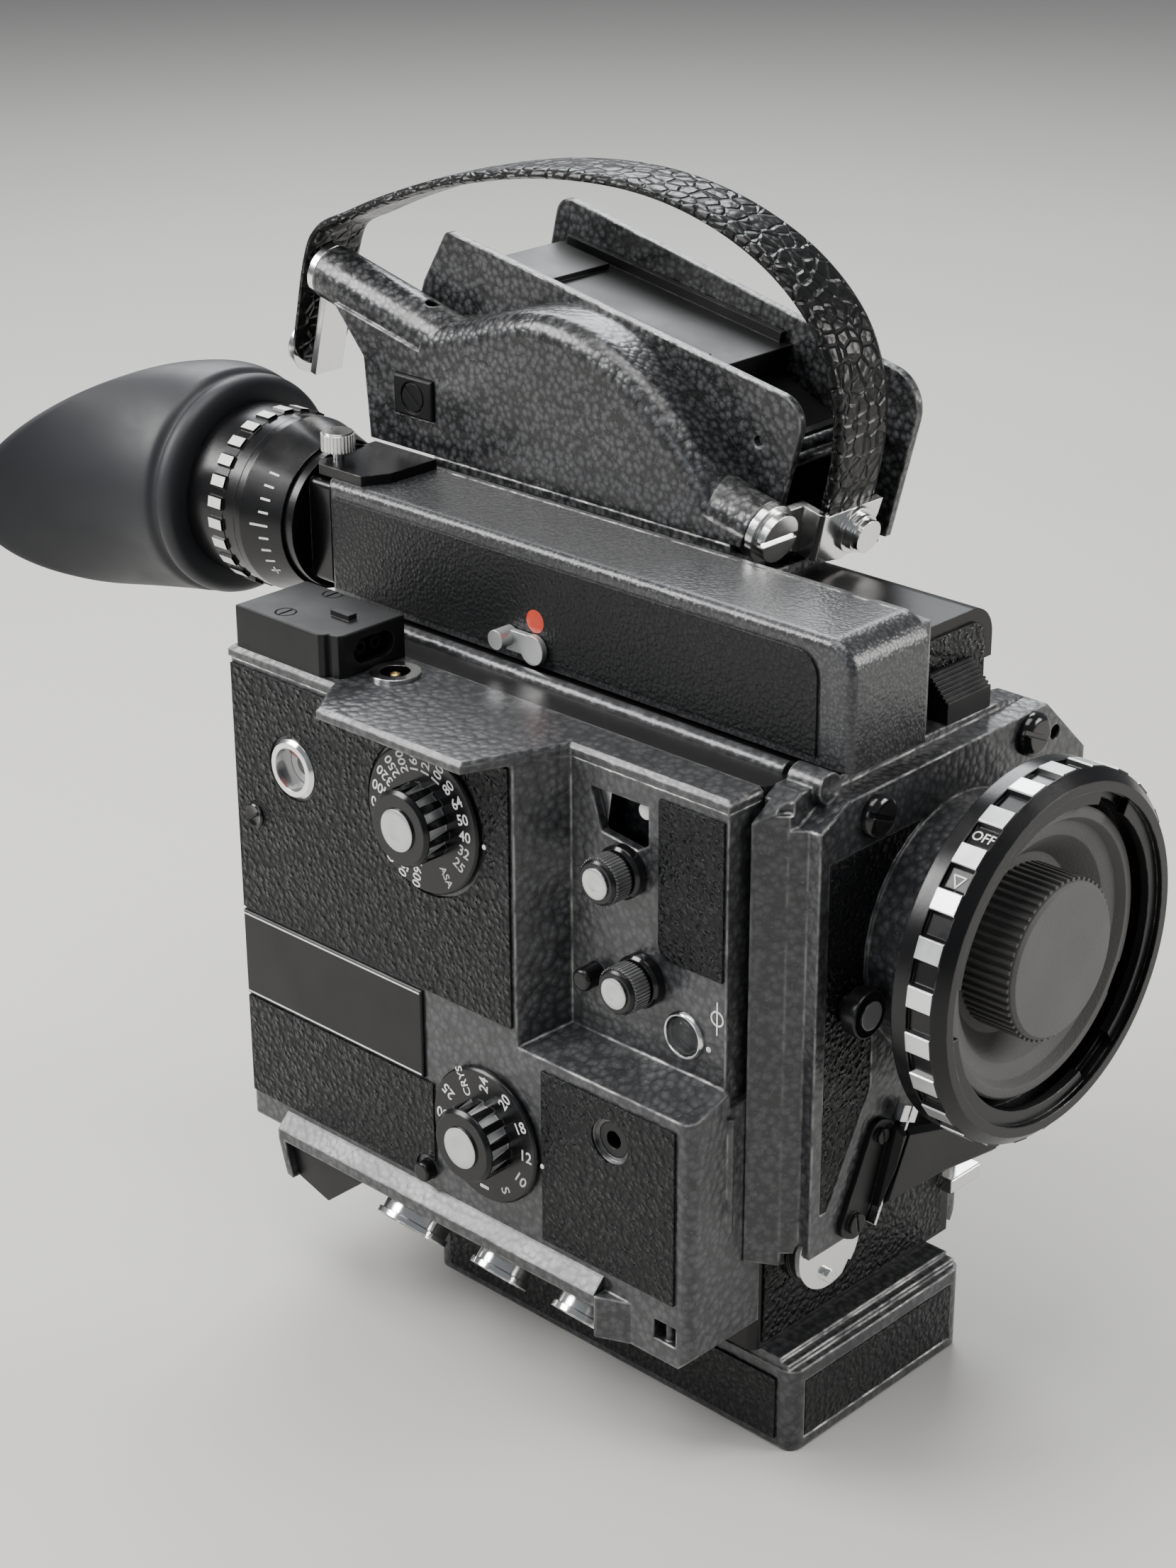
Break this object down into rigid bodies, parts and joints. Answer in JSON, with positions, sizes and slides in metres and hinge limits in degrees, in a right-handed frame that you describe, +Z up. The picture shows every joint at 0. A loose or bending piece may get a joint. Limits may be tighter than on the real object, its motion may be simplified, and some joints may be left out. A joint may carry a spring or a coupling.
{
  "type": "vintage 16 mm cine camera",
  "caption": "Vintage reflex cine camera: boxy leathered body, lens bayonet ring with cap, side dials, finder tube with angled eyecup, raised magazine saddle and carrying strap.",
  "frame": {"origin": "mouth of the small tripod thread, in the middle of the flat underside of the foot", "axes": "-Y is the way the lens looks, +Z is up, the control dials are on the -X side and the film door on the +X side"},
  "size_m": [0.1575, 0.336, 0.3217],
  "materials": {
    "hammer_paint": "semi-gloss hammered enamel",
    "leatherette": "coarse pebbled grain",
    "black_enamel": "satin",
    "black_anodised": "satin black anodised",
    "chrome": "polished",
    "aluminium": "satin",
    "rubber": "matt, slightly dusty",
    "grey_plastic": "moulded, fine grain",
    "black_plastic": "moulded",
    "glass": "clear",
    "board": "circuit board",
    "brass": "satin",
    "steel": "ground",
    "red": "enamel",
    "leather_strap": "grained, soft"
  },
  "bodies": {
    "camera_body": {"foot_block": "hammer_paint", "tripod_bushes": "steel", "body_shell": "black_enamel", "trim_rails": "hammer_paint", "remote_bush": "steel", "side_housing": "hammer_paint", "housing_lid": "hammer_paint", "meter_bezel": "chrome", "meter_glass": "glass", "name_plate": "black_enamel", "signal_lamp": "glass", "top_socket": "chrome", "accessory_block": "black_plastic", "under_sockets": "chrome", "connector_wedge": "black_enamel", "circuit_board": "board", "front_plate": "hammer_paint", "leather_panels": "leatherette", "plate_screws": "chrome", "mount_flange": "steel", "filter_cover": "black_enamel", "finder_tube": "hammer_paint", "eyepiece_adapter": "black_anodised", "scale_ring": "black_anodised", "saddle_floor": "hammer_paint", "saddle_casting": "hammer_paint", "saddle_plates": "hammer_paint", "motor_can": "steel", "film_gate": "brass"},
    "film_door": {"film_door": "hammer_paint"},
    "door_latch": {"door_latch": "chrome"},
    "bayonet_ring": {"bayonet_ring": "black_anodised"},
    "body_cap": {"body_cap": "grey_plastic"},
    "asa_dial": {"asa_dial": "black_anodised"},
    "fps_dial": {"fps_dial": "black_anodised"},
    "control_knob_upper": {"control_knob_upper": "black_anodised"},
    "control_knob_lower": {"control_knob_lower": "black_anodised"},
    "test_button": {"test_button": "black_anodised"},
    "lock_button": {"lock_button": "black_anodised"},
    "meter_needle": {"meter_needle": "black_enamel"},
    "release_button": {"release_button": "black_anodised"},
    "filter_slide": {"filter_slide": "chrome"},
    "thumb_lever": {"thumb_lever": "chrome"},
    "setting_knob": {"setting_knob": "black_anodised"},
    "thumb_slide": {"thumb_slide": "black_plastic"},
    "finder_lever": {"finder_lever": "aluminium"},
    "diopter_ring": {"diopter_ring": "black_anodised", "eye_lens": "glass"},
    "eyecup": {"eyecup": "rubber"},
    "thumb_screw": {"thumb_screw": "chrome"},
    "saddle_button": {"saddle_button": "black_plastic"},
    "strap": {"strap_brackets": "chrome", "carry_strap": "leather_strap"},
    "magazine_cover": {"magazine_cover": "black_plastic"},
    "motor_rotor": {"motor_rotor": "steel"},
    "shutter": {"shutter": "steel"},
    "sprocket_upper": {"sprocket_upper": "aluminium"},
    "sprocket_lower": {"sprocket_lower": "aluminium"},
    "spool_supply": {"spool_supply": "black_enamel"},
    "spool_takeup": {"spool_takeup": "black_enamel"}
  },
  "joints": [
    {"name": "film_door_lift_off", "type": "slide", "parent": "camera_body", "child": "film_door", "axis": [1, 0, 0], "range_m": [0, 0.06]},
    {"name": "door_latch_turn", "type": "hinge", "parent": "film_door", "child": "door_latch", "pos_m": [0.05, 0.03, 0.116], "axis": [1, 0, 0], "range_deg": [0, 90]},
    {"name": "bayonet_ring_turn", "type": "hinge", "parent": "camera_body", "child": "bayonet_ring", "pos_m": [0.0193, -0.1, 0.1443], "axis": [0, 1, 0], "range_deg": [0, 60]},
    {"name": "body_cap_pull", "type": "slide", "parent": "camera_body", "child": "body_cap", "axis": [0, -1, 0], "range_m": [0, 0.05]},
    {"name": "asa_dial_turn", "type": "hinge", "parent": "camera_body", "child": "asa_dial", "pos_m": [-0.067, 0.0369, 0.1685], "axis": [1, 0, 0], "range_deg": [-35, 280]},
    {"name": "fps_dial_turn", "type": "hinge", "parent": "camera_body", "child": "fps_dial", "pos_m": [-0.067, 0.0156, 0.0799], "axis": [1, 0, 0], "range_deg": [-100, 180]},
    {"name": "control_knob_upper_turn", "type": "hinge", "parent": "camera_body", "child": "control_knob_upper", "pos_m": [-0.053, -0.0221, 0.1673], "axis": [1, 0, 0], "range_deg": [-60, 60]},
    {"name": "control_knob_lower_turn", "type": "hinge", "parent": "camera_body", "child": "control_knob_lower", "pos_m": [-0.053, -0.0287, 0.138], "axis": [1, 0, 0], "range_deg": [-90, 90]},
    {"name": "test_button_press", "type": "slide", "parent": "camera_body", "child": "test_button", "axis": [1, 0, 0], "range_m": [0, 0.0012], "stiffness_N_per_m": 400},
    {"name": "lock_button_press", "type": "slide", "parent": "camera_body", "child": "lock_button", "axis": [1, 0, 0], "range_m": [0, 0.0012], "stiffness_N_per_m": 400},
    {"name": "meter_needle_swing", "type": "hinge", "parent": "camera_body", "child": "meter_needle", "pos_m": [-0.0645, 0.0906, 0.1669], "axis": [1, 0, 0], "range_deg": [-40, 40]},
    {"name": "release_button_press", "type": "slide", "parent": "camera_body", "child": "release_button", "axis": [0, 1, 0], "range_m": [0, 0.0025], "stiffness_N_per_m": 400},
    {"name": "filter_slide_pull", "type": "slide", "parent": "camera_body", "child": "filter_slide", "axis": [0, -1, 0], "range_m": [0, 0.013]},
    {"name": "thumb_lever_turn", "type": "hinge", "parent": "camera_body", "child": "thumb_lever", "pos_m": [-0.0252, -0.07, 0.062], "axis": [0, 1, 0], "range_deg": [-45, 20]},
    {"name": "setting_collar_turn", "type": "hinge", "parent": "camera_body", "child": "setting_knob", "pos_m": [-0.0252, -0.065, 0.062], "axis": [0, 1, 0], "range_deg": [-90, 90]},
    {"name": "thumb_slide_move", "type": "slide", "parent": "camera_body", "child": "thumb_slide", "axis": [1, 0, 0], "range_m": [-0.006, 0.006]},
    {"name": "finder_lever_turn", "type": "hinge", "parent": "camera_body", "child": "finder_lever", "pos_m": [-0.024, 0.039, 0.2038], "axis": [1, 0, 0], "range_deg": [0, 90]},
    {"name": "diopter_turn", "type": "hinge", "parent": "camera_body", "child": "diopter_ring", "pos_m": [-0.0074, 0.16, 0.216], "axis": [0, 1, 0], "range_deg": [-90, 90]},
    {"name": "eyecup_turn", "type": "hinge", "parent": "diopter_ring", "child": "eyecup", "pos_m": [-0.0074, 0.185, 0.216], "axis": [0, 1, 0], "range_deg": [-90, 90]},
    {"name": "thumb_screw_turn", "type": "hinge", "parent": "camera_body", "child": "thumb_screw", "pos_m": [-0.0127, 0.1295, 0.24], "axis": [0, 0, 1], "range_deg": [0, 720]},
    {"name": "saddle_button_press", "type": "slide", "parent": "camera_body", "child": "saddle_button", "axis": [1, 0, 0], "range_m": [0, 0.0012], "stiffness_N_per_m": 400},
    {"name": "strap_swing", "type": "hinge", "parent": "camera_body", "child": "strap", "pos_m": [0.0217, -0.0033, 0.2366], "axis": [0, 0.972, 0.2351], "range_deg": [-70, 1]},
    {"name": "magazine_cover_lift", "type": "slide", "parent": "camera_body", "child": "magazine_cover", "axis": [0, -0.2351, 0.972], "range_m": [0, 0.018]},
    {"name": "motor_spin", "type": "hinge", "parent": "camera_body", "child": "motor_rotor", "pos_m": [-0.018, 0.01, 0.118], "axis": [0, 1, 0], "continuous": true},
    {"name": "shutter_spin", "type": "hinge", "parent": "camera_body", "child": "shutter", "pos_m": [0.014, -0.06, 0.124], "axis": [0, 1, 0], "continuous": true},
    {"name": "sprocket_upper_spin", "type": "hinge", "parent": "camera_body", "child": "sprocket_upper", "pos_m": [0.02, -0.024, 0.17], "axis": [1, 0, 0], "continuous": true},
    {"name": "sprocket_lower_spin", "type": "hinge", "parent": "camera_body", "child": "sprocket_lower", "pos_m": [0.02, -0.03, 0.124], "axis": [1, 0, 0], "continuous": true},
    {"name": "spool_supply_spin", "type": "hinge", "parent": "camera_body", "child": "spool_supply", "pos_m": [0.02, 0.0682, 0.1474], "axis": [1, 0, 0], "continuous": true},
    {"name": "spool_takeup_spin", "type": "hinge", "parent": "camera_body", "child": "spool_takeup", "pos_m": [0.02, 0.0082, 0.0777], "axis": [1, 0, 0], "continuous": true}
  ],
  "couplings": [
    {"joint": "shutter_spin", "follows": "motor_spin", "ratio": 1},
    {"joint": "sprocket_upper_spin", "follows": "motor_spin", "ratio": 0.125},
    {"joint": "sprocket_lower_spin", "follows": "motor_spin", "ratio": 0.125},
    {"joint": "spool_supply_spin", "follows": "motor_spin", "ratio": 0.04},
    {"joint": "spool_takeup_spin", "follows": "motor_spin", "ratio": 0.04}
  ]
}
